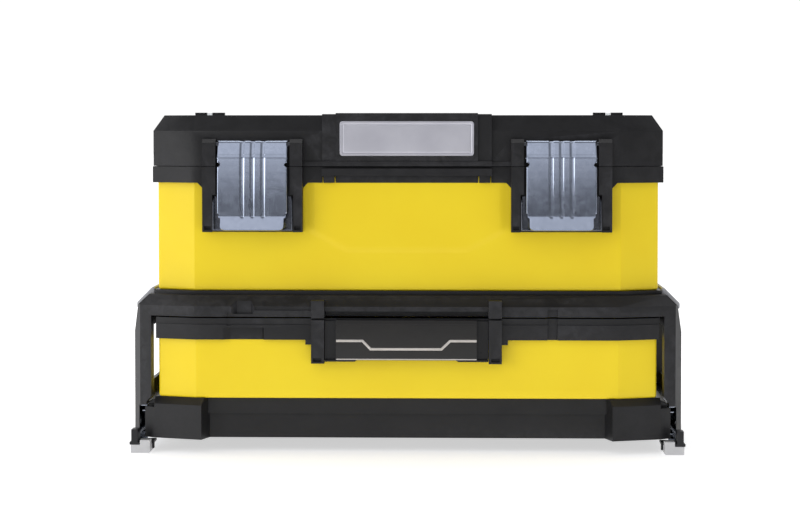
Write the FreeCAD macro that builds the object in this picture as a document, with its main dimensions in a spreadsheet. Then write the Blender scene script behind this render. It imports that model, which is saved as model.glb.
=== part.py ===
"""Tool box with a drawer on ball-bearing slides.

A black arch-shaped housing on four feet carries a full-width drawer; a yellow
sheet-metal box with a black rim and a bevelled black lid stands on top of it.
Millimetres, +Z up, the front faces -Y, the origin is the bottom centre.
"""
import FreeCAD, Part
import math
import os
import Sketcher

V = FreeCAD.Vector
doc = FreeCAD.newDocument("ToolBox")

# ---------------------------------------------------------------- driving sizes
SIZES = [
    # housing: the arch that carries everything
    ("frame_half", 270.8), ("frame_front", -131.0), ("frame_back", 140.0),
    ("frame_low", 10.8), ("frame_top", 155.0), ("frame_wall", 3.6),
    ("shoulder_low", 144.8), ("shoulder_half", 266.4), ("shoulder_top_half", 255.9),
    ("flare_low", 118.0), ("facet_start", 208.0), ("leg_inner", 252.5),
    ("leg_edge", 264.0), ("leg_depth", 35.0), ("rear_leg_front", 84.0),
    ("tunnel_top", 134.7), ("window_low", 58.0), ("window_high", 124.0),
    # plinth and upper box
    ("plinth_top", 158.9), ("plinth_half", 251.5),
    ("box_half", 248.3), ("box_front", -110.0), ("box_back", 120.0),
    ("box_top", 272.0), ("sheet", 1.0), ("facet_x", 38.2), ("facet_y", 18.0),
    # rim of the upper box
    ("rim_half", 253.0), ("rim_front", -114.7), ("rim_back", 124.7),
    ("rim_low", 265.5), ("rim_top", 281.4),
    # lid
    ("lid_half", 252.3), ("lid_front", -114.0), ("lid_back", 124.0),
    ("lid_low", 281.9), ("lid_edge", 316.6), ("lid_top", 332.0), ("lid_wall", 3.0),
    ("lid_slope", 33.78),
    # latches
    ("latch_x", 151.0), ("latch_half", 34.3), ("tab_half", 31.0),
    ("latch_pin_y", -120.5), ("latch_pin_z", 303.5), ("latch_pin_rad", 2.0),
    ("steel", 1.2), ("ear_front", -124.5),
    # lid hinge
    ("hinge_y", 130.5), ("hinge_z", 281.7), ("hinge_rad", 5.5), ("hinge_pin_rad", 2.5),
    # carry handle
    ("bail_x", 92.0), ("bail_y", 10.0), ("bail_z", 313.0), ("bail_pin_rad", 3.0),
    ("grip_y", -68.0), ("grip_rad", 9.5),
    # organizers
    ("org_in", 166.0), ("org_out", 237.0), ("org_front", -45.0), ("org_back", 101.0),
    ("org_floor", 303.0), ("org_hinge_y", 104.0), ("org_hinge_z", 330.4),
    # drawer
    ("drawer_half", 245.4), ("drawer_front", -124.5), ("drawer_back", 114.0),
    ("drawer_low", 54.2), ("drawer_top", 128.8), ("drim_half", 247.6),
    ("drim_front", -130.0), ("drim_back", 118.0), ("drim_low", 112.2), ("drim_top", 133.2),
    ("base_half", 256.8), ("base_low", 14.0), ("base_shelf", 47.6),
    ("block_front", -134.0), ("base_front", -114.0),
    ("pull_half", 68.5), ("pull_low", 93.3), ("pull_top", 132.3), ("pull_front", -140.0),
    # slides
    ("slide_low", 11.2), ("slide_high", 44.6), ("slide_front", -103.5), ("slide_back", 100.0),
    ("slide_web", 266.9), ("slide_steel", 1.2), ("ball_rad", 2.0), ("ball_x", 261.6),
    # feet
    ("foot_out", 271.3), ("foot_in", 251.8), ("foot_front", -128.0), ("foot_deep", 30.0),
    ("foot_top", 8.2), ("clip_out", 272.5),
    # tote tray
    ("tray_half", 236.0), ("tray_front", -96.0), ("tray_back", 106.0),
    ("tray_low", 222.0), ("tray_top", 279.0), ("tray_wall", 2.2),
]

sheet = doc.addObject("Spreadsheet::Sheet", "Dims")
for number, (alias, value) in enumerate(SIZES, start=1):
    sheet.set("A%d" % number, alias)
    sheet.set("B%d" % number, repr(value))
    sheet.setAlias("B%d" % number, alias)
doc.recompute()


class Size:
    """A length that knows its value and the sheet expression behind it."""

    def __init__(self, value, text):
        self.value = float(value)
        self.text = text

    def _join(self, other, sign, swap=False):
        a, b = (as_size(other), self) if swap else (self, as_size(other))
        value = {"+": a.value + b.value, "-": a.value - b.value, "*": a.value * b.value,
                 "/": a.value / b.value if b.value else 0.0}[sign]
        return Size(value, "(%s %s %s)" % (a.text, sign, b.text))

    def __add__(self, other): return self._join(other, "+")
    def __radd__(self, other): return self._join(other, "+", True)
    def __sub__(self, other): return self._join(other, "-")
    def __rsub__(self, other): return self._join(other, "-", True)
    def __mul__(self, other): return self._join(other, "*")
    def __rmul__(self, other): return self._join(other, "*", True)
    def __truediv__(self, other): return self._join(other, "/")
    def __neg__(self): return Size(-self.value, "(-1 * %s)" % self.text)


def as_size(x):
    return x if isinstance(x, Size) else Size(x, repr(float(x)))


class Sheet:
    pass


D = Sheet()
for alias, value in SIZES:
    setattr(D, alias, Size(value, "Dims." + alias))


def num(x):
    return x.value if isinstance(x, Size) else float(x)


def bind(obj, prop, x):
    """Set a property, and bind it to the sheet when the size comes from there."""
    if "Dims." in as_size(x).text:
        obj.setExpression(prop, as_size(x).text)


PARTS = []          # (label, object)
COUNT = [0]


def fresh(stem):
    COUNT[0] += 1
    return "%s_%d" % (stem, COUNT[0])


class Piece:
    """One sub-part: a PartDesign body with helper features."""

    def __init__(self, label):
        self.body = doc.addObject("PartDesign::Body", label)
        self.body.Label = label
        self.body.Placement = FreeCAD.Placement()
        PARTS.append((label, self.body))

    def plane(self, role):
        for feature in self.body.Origin.OriginFeatures:
            if feature.Role == role:
                return feature

    def sketch(self, role, pts=None, at=0.0, circles=None):
        s = self.body.newObject("Sketcher::SketchObject", fresh("Sketch"))
        s.AttachmentSupport = [(self.plane(role), "")]
        s.MapMode = "FlatFace"
        offset = -as_size(at) if role == "XZ_Plane" else as_size(at)
        s.AttachmentOffset = FreeCAD.Placement(V(0, 0, offset.value), FreeCAD.Rotation())
        bind(s, "AttachmentOffset.Base.z", offset)
        if pts:
            n = len(pts)
            flat = [V(num(x), num(y), 0) for x, y in pts]
            s.addGeometry([Part.LineSegment(flat[i], flat[(i + 1) % n]) for i in range(n)], False)
            rules = [Sketcher.Constraint("Coincident", i, 2, (i + 1) % n, 1) for i in range(n)]
            for i in range(n):
                rules.append(Sketcher.Constraint("DistanceX", -1, 1, i, 1, flat[i].x))
                rules.append(Sketcher.Constraint("DistanceY", -1, 1, i, 1, flat[i].y))
            s.addConstraint(rules)
            for i, (x, y) in enumerate(pts):
                bind(s, "Constraints[%d]" % (n + 2 * i), x)
                bind(s, "Constraints[%d]" % (n + 2 * i + 1), y)
        if circles:
            for x, y, r in circles:
                g = s.addGeometry(Part.Circle(V(num(x), num(y), 0), V(0, 0, 1), num(r)), False)
                first = s.ConstraintCount
                s.addConstraint([
                    Sketcher.Constraint("DistanceX", -1, 1, g, 3, num(x)),
                    Sketcher.Constraint("DistanceY", -1, 1, g, 3, num(y)),
                    Sketcher.Constraint("Radius", g, num(r))])
                bind(s, "Constraints[%d]" % first, x)
                bind(s, "Constraints[%d]" % (first + 1), y)
                bind(s, "Constraints[%d]" % (first + 2), r)
        return s

    def pad(self, role, pts, lo, hi, circles=None, taper=0.0):
        """Material between lo and hi along the plane's axis (X, Y or Z)."""
        start = hi if role == "XZ_Plane" else lo
        s = self.sketch(role, pts, start, circles)
        p = self.body.newObject("PartDesign::Pad", fresh("Pad"))
        p.Profile = s
        p.Length = num(hi) - num(lo)
        bind(p, "Length", as_size(hi) - lo)
        if num(taper):
            p.TaperAngle = num(taper)
            bind(p, "TaperAngle", taper)
        self.body.Tip = p
        return p

    def cut(self, role, pts, lo, hi, circles=None):
        """Material removed between lo and hi along the plane's axis."""
        start = lo if role == "XZ_Plane" else hi
        s = self.sketch(role, pts, start, circles)
        p = self.body.newObject("PartDesign::Pocket", fresh("Pocket"))
        p.Profile = s
        p.Length = num(hi) - num(lo)
        bind(p, "Length", as_size(hi) - lo)
        self.body.Tip = p
        return p

    def slant(self, x, y, turn, pts, length):
        """Material removed along a level line that starts at (x, y) and runs at angle turn to +X.
        The section's first axis points inward, at right angles to the line, its second axis up."""
        s = self.body.newObject("Sketcher::SketchObject", fresh("Sketch"))
        n = len(pts)
        flat = [V(num(u), num(w), 0) for u, w in pts]
        s.addGeometry([Part.LineSegment(flat[i], flat[(i + 1) % n]) for i in range(n)], False)
        rules = [Sketcher.Constraint("Coincident", i, 2, (i + 1) % n, 1) for i in range(n)]
        for i in range(n):
            rules.append(Sketcher.Constraint("DistanceX", -1, 1, i, 1, flat[i].x))
            rules.append(Sketcher.Constraint("DistanceY", -1, 1, i, 1, flat[i].y))
        s.addConstraint(rules)
        for i, (u, w) in enumerate(pts):
            bind(s, "Constraints[%d]" % (n + 2 * i), u)
            bind(s, "Constraints[%d]" % (n + 2 * i + 1), w)
        along = V(math.cos(math.radians(turn)), math.sin(math.radians(turn)), 0)
        inward = V(-along.y, along.x, 0)
        # sketch X = inward, sketch Y = up, sketch normal = along
        s.Placement = FreeCAD.Placement(V(num(x), num(y), 0), FreeCAD.Rotation(inward, V(0, 0, 1), along, "ZXY"))
        p = self.body.newObject("PartDesign::Pocket", fresh("Slant"))
        p.Profile = s
        p.Length = length
        p.Reversed = True
        self.body.Tip = p
        return p

    def _block(self, kind, x0, x1, y0, y1, z0, z1):
        b = self.body.newObject(kind, fresh("Block"))
        for prop, lo, hi in (("Length", x0, x1), ("Width", y0, y1), ("Height", z0, z1)):
            setattr(b, prop, num(hi) - num(lo))
            bind(b, prop, as_size(hi) - lo)
        b.Placement.Base = V(num(x0), num(y0), num(z0))
        for axis, at in (("x", x0), ("y", y0), ("z", z0)):
            bind(b, "Placement.Base." + axis, at)
        self.body.Tip = b
        return b

    def add(self, x0, x1, y0, y1, z0, z1):
        return self._block("PartDesign::AdditiveBox", x0, x1, y0, y1, z0, z1)

    def take(self, x0, x1, y0, y1, z0, z1):
        return self._block("PartDesign::SubtractiveBox", x0, x1, y0, y1, z0, z1)

    def _rod(self, kind, axis, lo, hi, a, b, r):
        """A cylinder along X, Y or Z from lo to hi; a and b are the other two coordinates."""
        c = self.body.newObject(kind, fresh("Rod"))
        c.Radius = num(r)
        bind(c, "Radius", r)
        c.Height = num(hi) - num(lo)
        bind(c, "Height", as_size(hi) - lo)
        if axis == "X":
            base, rot = (lo, a, b), FreeCAD.Rotation(V(0, 1, 0), 90)
        elif axis == "Y":
            base, rot = (a, lo, b), FreeCAD.Rotation(V(1, 0, 0), -90)
        else:
            base, rot = (a, b, lo), FreeCAD.Rotation()
        c.Placement = FreeCAD.Placement(V(*[num(q) for q in base]), rot)
        for name, at in zip("xyz", base):
            bind(c, "Placement.Base." + name, at)
        self.body.Tip = c
        return c

    def rod(self, axis, lo, hi, a, b, r):
        return self._rod("PartDesign::AdditiveCylinder", axis, lo, hi, a, b, r)

    def bore(self, axis, lo, hi, a, b, r):
        return self._rod("PartDesign::SubtractiveCylinder", axis, lo, hi, a, b, r)


def facets(half, front, back, fx, fy, gap=0.0):
    """Plan of a box with its four upright corners cut off, counter-clockwise."""
    h, f, b = as_size(half) - gap, as_size(front) + gap, as_size(back) - gap
    inner = h - fx + gap * 0.2
    return [(-inner, f), (inner, f), (h, f + fy), (h, b - fy),
            (inner, b), (-inner, b), (-h, b - fy), (-h, f + fy)]


def mirror(pts):
    return [(-as_size(x), y) for x, y in reversed(pts)]


SIDES = (("left", -1), ("right", 1))


def span(sign, a, b):
    """The x interval a..b (a < b, both positive) on the given side."""
    return (a, b) if sign > 0 else (-as_size(b), -as_size(a))


# ================================================================= housing
frame = Piece("housing_frame")
outer = [(D.frame_half, D.frame_low), (D.frame_half, D.flare_low), (D.shoulder_half, D.shoulder_low),
         (D.shoulder_top_half, D.frame_top)]
frame.pad("XZ_Plane", outer + mirror(outer), D.frame_front, D.frame_back)
# plinth that the upper box stands on
frame.pad("XY_Plane", facets(D.plinth_half, D.box_front - 3, D.box_back + 3, D.facet_x, D.facet_y),
          D.frame_top, D.plinth_top)
# drawer tunnel, wider beside the slides, closed by the back wall
tunnel = [(D.frame_half - D.frame_wall, 5), (D.frame_half - D.frame_wall, 45.6), (257.5, 45.6), (257.5, 49),
          (D.leg_inner, 55), (D.leg_inner, D.tunnel_top)]
frame.cut("XZ_Plane", tunnel + mirror(tunnel), D.frame_front - 1, D.slide_back + 2)
behind = [(258.0, 5), (258.0, 49), (D.leg_inner, 55), (D.leg_inner, D.tunnel_top)]
frame.cut("XZ_Plane", behind + mirror(behind), D.slide_back + 1, D.frame_back - 4)
frame.take(-(D.frame_half - D.frame_wall), D.frame_half - D.frame_wall, D.frame_front + D.leg_depth,
           D.rear_leg_front, 5, D.window_high)
# front end of each lower rail, closing the slide's web off from the front
for name, s in SIDES:
    frame.add(*span(s, 265.2, 267.6), -128.0, -104.2, 11.0, 49.0)
# hollow deck above the drawer, with three cross ribs left standing
frame.take(-216, 216, -117, 130, 130, 149.5)
frame.take(-240, 240, -108, 130, 130, 149.5)
frame.take(-229, 229, -98, 108, 149.4, 155.2)
for y in (-60, 5, 70):
    frame.add(-244.5, 244.5, y - 1.2, y + 1.2, 137, 156)
# side windows between the front and rear legs
frame.take(-280, 280, D.frame_front + D.leg_depth, D.rear_leg_front, D.window_low, D.window_high)
# upright facets at the front corners, then the narrow return to the side wall
corner = [(D.facet_start, D.frame_front), (D.leg_edge, D.frame_front + 18.7),
          (D.frame_half + 0.5, D.frame_front + 31), (D.frame_half + 8, D.frame_front + 31),
          (D.frame_half + 8, D.frame_front - 2), (D.facet_start, D.frame_front - 2)]
frame.cut("XY_Plane", corner, 5, 160)
frame.cut("XY_Plane", mirror(corner), 5, 160)
rear = [(D.frame_half + 8, D.frame_back - 9), (D.frame_half + 8, D.frame_back + 2),
        (D.frame_half - 11, D.frame_back + 2), (D.frame_half - 9, D.frame_back),
        (D.frame_half, D.frame_back - 9)]
frame.cut("XY_Plane", rear, 5, 160)
frame.cut("XY_Plane", mirror(rear), 5, 160)
# sloped front edge of the deck: middle and both facets
frame.cut("YZ_Plane", [(D.frame_front - 1, D.shoulder_low - 1), (D.frame_front + 10.2, D.frame_top + 0.2),
                       (D.frame_front + 10.2, 162), (D.frame_front - 1, 162)], -209, 209)
turn = 18.466
slope = [(-2.0, D.shoulder_low - 2), (0.0, D.shoulder_low), (9.7, D.frame_top), (9.7, 160), (-2.0, 160)]
frame.slant(208.0, D.frame_front, turn, slope, 60.0)
frame.slant(-264.907, D.frame_front + 19.0, -turn, slope, 60.0)
# seats for the light side grips at the shoulders
seat = [(252.0, 162), (252.0, 150), (262, 140), (280, 140), (280, 162)]
frame.cut("XZ_Plane", seat, -90, 78)
frame.cut("XZ_Plane", mirror(seat), -90, 78)
# front of the deck: two ears above the drawer pull, a stepped recess and a slot
for name, s in SIDES:
    frame.add(*span(s, 80.2, 93.0), -137, -120.5, 134.0, 151)
frame.cut("XY_Plane", [(-172.4, -132), (-166.4, -125.6), (-152.4, -125.6), (-148.9, -132)], 137.6, 150)
frame.take(-148.9, -93.4, -133, -129.4, 141, 144.5)
frame.take(-176.0, -142.4, -133, -129.8, 133, 138.6)
frame.take(137.6, 147.4, -133, -126.5, 130, 142)
frame.take(-79.6, 79.6, -133, -119, 134, 140.2)
# back wall: lower tie and ribs
for x in (-150, 0, 150):
    frame.add(x - 1.5, x + 1.5, D.frame_back - 8, D.frame_back - 3.9, 30, 134)
# shallow panels pressed into the outside of the back wall
for x0, x1 in ((-236, -86), (-74, 74), (86, 236)):
    frame.take(x0, x1, D.frame_back - 1.2, D.frame_back + 1, 24, 132)
# long groove in the lower side rails
for name, s in SIDES:
    frame.take(*span(s, 262, 275), -88, 76, 20, 26)

for name, s in SIDES:
    grip = Piece("side_grip_" + name)
    pts = [(252.1, 150.1), (262.1, 140.1), (270.4, 140.1), (270.4, 145.6), (255.0, 161.0), (252.1, 161.0)]
    grip.pad("XZ_Plane", pts if s > 0 else mirror(pts), -89.9, 77.9)

# ================================================================= feet and clips
for end, ysign in (("front", -1), ("rear", 1)):
    for name, s in SIDES:
        y0 = D.foot_front if ysign < 0 else as_size(98.0)
        y1 = y0 + D.foot_deep
        foot = Piece("foot_%s_%s" % (end, name))
        foot.add(*span(s, D.foot_in, D.foot_out), y0, y1, 0, D.foot_top)
        boss = (y0, y0 + 11) if ysign < 0 else (y1 - 11, y1)
        foot.add(*span(s, D.foot_in + 0.4, 262.2 if ysign < 0 else 257.9), boss[0], boss[1], D.foot_top, 12.8)
        # the inner lower edge is cut back
        pts = [(D.foot_in - 1, -1), (D.foot_in + 2.2, -1), (D.foot_in - 1, 2.4)]
        foot.cut("XZ_Plane", pts if s > 0 else mirror(pts), y0 - 1, y1 + 1)
        clip = Piece("foot_clip_%s_%s" % (end, name))
        rest = (y0 + 11.5, y1) if ysign < 0 else (y0, y1 - 11.5)
        clip.add(*span(s, 249.7, D.clip_out), rest[0], rest[1], D.foot_top, D.frame_low)
        clip.add(*span(s, 262.6, D.clip_out), y0, y1, D.foot_top, D.frame_low)
        hook = (y0 + 11.5, y0 + 15.5) if ysign < 0 else (y1 - 15.5, y1 - 11.5)
        clip.add(*span(s, 249.7, D.foot_in - 0.1), hook[0], hook[1], 3.0, D.frame_low)
        post = (y0, y0 + 13.8) if ysign < 0 else (y1 - 2, y1)
        if ysign < 0:
            clip.add(*span(s, 264.2, 270.8), post[0], post[1], D.foot_top, 23.4)

# ================================================================= upper box
box = Piece("upper_body")
box.pad("XY_Plane", facets(D.box_half, D.box_front, D.box_back, D.facet_x, D.facet_y), D.plinth_top, D.box_top)
box.cut("XY_Plane", facets(D.box_half, D.box_front, D.box_back, D.facet_x, D.facet_y, gap=1.0),
        D.plinth_top + D.sheet, D.box_top + 1)
panel = [(-95, 262), (-95, 218.1), (-58.7, 198.4), (58.7, 198.4), (95, 218.1), (95, 262)]
box.pad("XZ_Plane", panel, D.box_front - 0.9, D.box_front + 0.5)

rim = Piece("box_rim")
rim.pad("XY_Plane", facets(D.rim_half, D.rim_front, D.rim_back, D.facet_x + 0.6, D.facet_y), D.rim_low, D.rim_top)
rim.cut("XY_Plane", facets(D.box_half + 0.1, D.box_front - 0.1, D.box_back + 0.1, D.facet_x, D.facet_y),
        D.rim_low - 1, D.box_top + 0.1)
rim.cut("XY_Plane", facets(D.box_half - 4.4, D.box_front + 4.4, D.box_back - 4.4, D.facet_x - 1.4, D.facet_y - 1.4),
        D.box_top - 1, D.rim_top + 1)
# set-back face between the latches, with a lifting bar on two end blocks
rim.take(-102.2, 102.2, D.rim_front - 1, D.rim_front + 3.0, 265, 282)
rim.pad("YZ_Plane", [(D.rim_front - 4.6, 272.6), (D.rim_front - 4.6, 279.6), (D.rim_front + 3.5, 279.6),
                     (D.rim_front + 3.5, 272.6)], -83.5, 83.5)
for name, s in SIDES:
    rim.add(*span(s, 71.6, 83.5), D.rim_front - 0.6, D.rim_front + 3.5, 265.5, 273.0)
for x in (-83.0, -71.2, 70.0, 81.8):
    rim.take(x, x + 1.0, D.rim_front - 2, D.box_front - 0.2, 265, 271.8)
for name, s in SIDES:
    # apron behind the latch with an ear on each side of it
    rim.add(*span(s, 102.2, 200.6), -117.5, -111.2, 217.3, 266.0)
    rim.add(*span(s, 102.2, 200.6), -117.5, D.rim_front + 1, 265.5, D.rim_top)
    rim.add(*span(s, 190.6, 200.6), D.ear_front, -117.4, 217.3, D.rim_top)
    rim.add(*span(s, 187.4, 200.6), D.ear_front, -117.4, 254.0, D.rim_top)
    rim.add(*span(s, 102.2, 111.4), D.ear_front, -117.4, 217.3, D.rim_top)
    rim.add(*span(s, 102.2, 114.6), D.ear_front, -117.4, 254.0, D.rim_top)
    for a, b in ((191.8, 198.6), (103.8, 110.2)):
        rim.take(*span(s, a, b), D.ear_front - 1, D.ear_front + 4, 219.4, 223.2)
    # gusset under the rim beside the apron
    pts = [(200.6, 259.5), (206.5, 265.6), (200.6, 265.6)]
    rim.pad("XZ_Plane", pts if s > 0 else mirror(pts), -114.7, -111.2)
    pts = [(102.2, 265.6), (97.5, 265.6), (102.2, 260.5)]
    rim.pad("XZ_Plane", pts if s > 0 else mirror(pts), -111.7, -110.1)
    # hinge knuckle between the two knuckles of the lid
    rim.add(*span(s, 137.4, 162.6), D.rim_back - 1, D.hinge_y, 274.5, D.hinge_z)
    rim.rod("X", *span(s, 137.4, 162.6), D.hinge_y, D.hinge_z, D.hinge_rad)
    rim.bore("X", *span(s, 137.0, 163.0), D.hinge_y, D.hinge_z, D.hinge_pin_rad + 0.05)

for name, s in SIDES:
    keeper = Piece("keeper_bracket_" + name)
    x0, x1 = span(s, 111.9, 190.1)
    keeper.add(x0, x1, -118.7, -117.5, 219.0, 252.4)
    keeper.add(x0, x1, -126.4, -117.5, 219.0, 220.2)
    flange = [(-117.5, 219.0), (-117.5, 252.4), (-121.0, 252.4), (-126.4, 246.6), (-126.4, 219.0)]
    keeper.pad("YZ_Plane", flange, x0, as_size(x0) + 1.2)
    keeper.pad("YZ_Plane", flange, as_size(x1) - 1.2, x1)
    for x in (-20.0, 20.0):
        keeper.bore("Y", -120, -117, s * 151.0 + x, 243.5, 2.05)

rivets = Piece("keeper_rivets")
for name, s in SIDES:
    for x in (-20.0, 20.0):
        rivets.rod("Y", -118.7, -117.5, s * 151.0 + x, 243.5, 2.0)
        rivets.rod("Y", -119.7, -118.7, s * 151.0 + x, 243.5, 3.4)

deck = Piece("deck_screws")
for x in (-200.0, 0.0, 200.0):
    for y in (-80.0, 90.0):
        deck.rod("Z", D.plinth_top + D.sheet, D.plinth_top + D.sheet + 2.0, x, y, 4.2)

# ================================================================= tote tray
tray = Piece("tote_tray")
tray.pad("XY_Plane", facets(D.tray_half, D.tray_front, D.tray_back, 30, 14), D.tray_low, D.tray_top)
tray.cut("XY_Plane", facets(D.tray_half - D.tray_wall, D.tray_front + D.tray_wall, D.tray_back - D.tray_wall,
                            29.2, 13.4), D.tray_low + D.tray_wall, D.tray_top + 1)
tray.add(-234.5, 234.5, 3.5, 6.5, D.tray_low + 1, 268)
tray.add(-70, 70, 2.5, 7.5, D.tray_low + 1, 292)
tray.take(-55, 55, 0, 10, 262, 283)
# lip that hangs on the rim
tray.pad("XY_Plane", facets(D.box_half - 4.9, D.box_front + 4.9, D.box_back - 4.9, 36.6, 16.4),
         D.tray_top - 2.4, D.tray_top)
tray.cut("XY_Plane", facets(D.tray_half - D.tray_wall, D.tray_front + D.tray_wall, D.tray_back - D.tray_wall,
                            29.2, 13.4), D.tray_top - 3, D.tray_top + 1)
tray.add(-234.5, 234.5, 3.5, 6.5, 262, 270)
tray.add(-70, 70, 2.5, 7.5, 284.9, 292)
tray.add(-70, -55, 2.5, 7.5, 260, 292)
tray.add(55, 70, 2.5, 7.5, 260, 292)

# ================================================================= lid
lid = Piece("lid_shell")
lid.pad("XY_Plane", facets(D.lid_half, D.lid_front, D.lid_back, D.facet_x, D.facet_y), D.lid_low, D.lid_edge)
lid.pad("XY_Plane", facets(D.lid_half, D.lid_front, D.lid_back, D.facet_x, D.facet_y), D.lid_edge, D.lid_top,
        taper=-D.lid_slope)
# centre panel with side pieces and a lip
lid.add(-69.7, 69.7, -119.2, -96, 287.2, 334.0)
lid.add(-83.2, 83.2, -117.0, -98, 285.0, 333.0)
lid.add(-83.5, 83.5, -119.0, -108, D.lid_low, 286.8)
lid.add(-102.4, 102.4, -115.6, -110, D.lid_low, 286.4)
# hollow inside
lid.cut("XY_Plane", facets(D.lid_half, D.lid_front, D.lid_back, D.facet_x, D.facet_y, gap=3.0),
        D.lid_low - 1, D.lid_edge - 1)
lid.cut("XY_Plane", facets(D.lid_half, D.lid_front, D.lid_back, D.facet_x, D.facet_y, gap=13.5),
        D.lid_edge - 2, D.lid_top - D.lid_wall)
lid.take(-66.5, 66.5, -116.2, -100, D.lid_low + 5.5, 331.0)
# handle bay pan and two organizer pans
lid.add(-101.6, 101.6, -94.6, 32.6, 298.0, D.lid_top)
lid.take(-99.0, 99.0, -92.0, 30.0, 300.4, 340)
for name, s in SIDES:
    lid.add(*span(s, D.org_in - 2, D.org_out - 2), D.org_front - 2, D.org_back + 2, D.org_floor - 2, D.lid_top - 2)
    lid.take(*span(s, D.org_in, D.org_out - 4), D.org_front, D.org_back, D.org_floor, 340)
    # rebate for the clear lid
    lid.take(*span(s, D.org_in - 1.5, D.org_out + 0.5), D.org_front - 1.5, D.org_back + 3.6, 329.6, 340)
    lid.add(*span(s, D.org_out - 6, D.org_out - 2), D.org_front - 1.5, D.org_back + 1.5, 316, 329.6)
    # latch lugs at the front of the organizer, tongue slot between them
    for a, b in ((186.2, 198.6), (204.2, 216.0)):
        lid.add(*span(s, a, b), D.org_front - 8, D.org_front - 2.2, 330, 335.0)
    # rear hinge knuckles of the organizer
    for x in (181.0, 222.0):
        lid.take(*span(s, x - 6.2, x + 6.2), D.org_back + 0.5, D.org_hinge_y + 3.0, 326.5, 340)
        for a, b in ((x - 9.0, x - 6.2), (x + 6.2, x + 9.0)):
            lid.add(*span(s, a, b), D.org_back + 1.5, D.org_hinge_y + 2.2, 328, 332.6)
        lid.bore("X", *span(s, x - 10, x + 10), D.org_hinge_y, D.org_hinge_z, 1.05)
    # ears that hold the latch pin
    lid.add(*span(s, 187.4, 200.6), D.ear_front, D.lid_front + 1, D.lid_low, 308.5)
    lid.add(*span(s, 102.2, 114.6), D.ear_front, D.lid_front + 1, D.lid_low, 308.5)
    pts = [(D.ear_front - 1, 304.0), (D.ear_front + 4.5, 309.0), (D.ear_front - 1, 309.0)]
    for a, b in ((187.0, 201.0), (101.8, 115.0)):
        lid.cut("YZ_Plane", pts, *span(s, a, b))
    lid.bore("X", *span(s, 103.6, 199.2), D.latch_pin_y, D.latch_pin_z, D.latch_pin_rad + 0.02)
    # hinge knuckles either side of the knuckle of the rim
    for a, b in ((118.0, 137.0), (163.0, 182.0)):
        lid.add(*span(s, a, b), D.lid_back - 1, D.hinge_y, D.lid_low, 287.2)
        lid.rod("X", *span(s, a, b), D.hinge_y, D.hinge_z, D.hinge_rad)
        lid.bore("X", *span(s, a - 1, b + 1), D.hinge_y, D.hinge_z, D.hinge_pin_rad + 0.02)
    # bosses for the carry handle's pivots
    lid.add(*span(s, 99.0, 101.6), D.bail_y - 9, D.bail_y + 9, 300.4, 325)
    lid.bore("X", *span(s, 98.0, 103.0), D.bail_y, D.bail_z, D.bail_pin_rad + 0.02)
# shallow grooves along the lid top
for name, s in SIDES:
    for x in (118.0, 134.0, 150.0):
        lid.take(*span(s, x - 1.5, x + 1.5), -88, 100, D.lid_top - 0.8, D.lid_top + 1)

label = Piece("label_plate")
label.pad("XZ_Plane", [(-65.8, 295.1), (-62.8, 292.1), (62.8, 292.1), (65.8, 295.1), (65.8, 323.0), (62.8, 326.0),
                       (-62.8, 326.0), (-65.8, 323.0)], -120.4, -119.2)

pins = Piece("latch_pins")
hinge_pins = Piece("lid_hinge_pins")
bail_pins = Piece("handle_pivots")
org_pins = Piece("organizer_hinge_pins")
for name, s in SIDES:
    pins.rod("X", *span(s, 103.6, 199.2), D.latch_pin_y, D.latch_pin_z, D.latch_pin_rad)
    hinge_pins.rod("X", *span(s, 118.0, 182.0), D.hinge_y, D.hinge_z, D.hinge_pin_rad)
    bail_pins.rod("X", *span(s, 87.0, 101.6), D.bail_y, D.bail_z, D.bail_pin_rad)
    for x in (181.0, 222.0):
        org_pins.rod("X", *span(s, x - 9.0, x + 9.0), D.org_hinge_y, D.org_hinge_z, 1.0)

# ================================================================= latch plates
for name, s in SIDES:
    plate = Piece("latch_plate_" + name)
    py, pz = D.latch_pin_y, D.latch_pin_z
    c = s * 151.0
    # side profile: rolled eye, leaning top, face and finger tab, drawn in Y and Z
    profile = [(-123.4, 306.6), (-130.6, 290.4), (-130.6, 232.8), (-136.4, 219.6), (-135.4, 219.0),
               (-129.4, 232.4), (-129.4, 290.2), (-122.4, 305.6)]
    plate.pad("YZ_Plane", profile, c - 31.0, c + 31.0)
    plate.rod("X", c - 31.0, c + 31.0, py, pz, 3.5)
    plate.bore("X", c - 40.0, c + 40.0, py, pz, 2.07)
    lower = [(-130.6, 282.0), (-130.6, 233.6), (-126.9, 236.0), (-126.9, 282.0)]
    upper = [(-129.6, 284.0), (-129.6, 290.0), (-123.4, 303.4), (-120.0, 300.2), (-125.6, 284.0)]
    for a, b in ((-34.3, -32.9), (32.9, 34.3)):
        plate.pad("YZ_Plane", lower, c + a, c + b)
        plate.pad("YZ_Plane", upper, c + a, c + b)
    plate.add(c - 34.3, c + 34.3, -130.6, -129.4, 236.0, 282.0)
    plate.add(c - 34.3, c + 34.3, -130.6, -129.4, 284.0, 289.6)
    # three grooves pressed inward, with the metal standing out behind them
    back = [(-129.6, 289.8), (-129.6, 234.0), (-128.3, 235.2), (-128.3, 289.4), (-124.2, 298.8), (-125.4, 299.4)]
    groove = [(-125.0, 305.4), (-132.6, 290.8), (-132.6, 233.2), (-129.6, 233.2), (-129.6, 290.2), (-122.8, 304.6)]
    for x in (-9.9, 0.2, 10.5):
        plate.pad("YZ_Plane", back, c + x - 2.9, c + x + 2.9)
    for x in (-9.9, 0.2, 10.5):
        plate.cut("YZ_Plane", groove, c + x - 1.9, c + x + 1.9)

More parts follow.
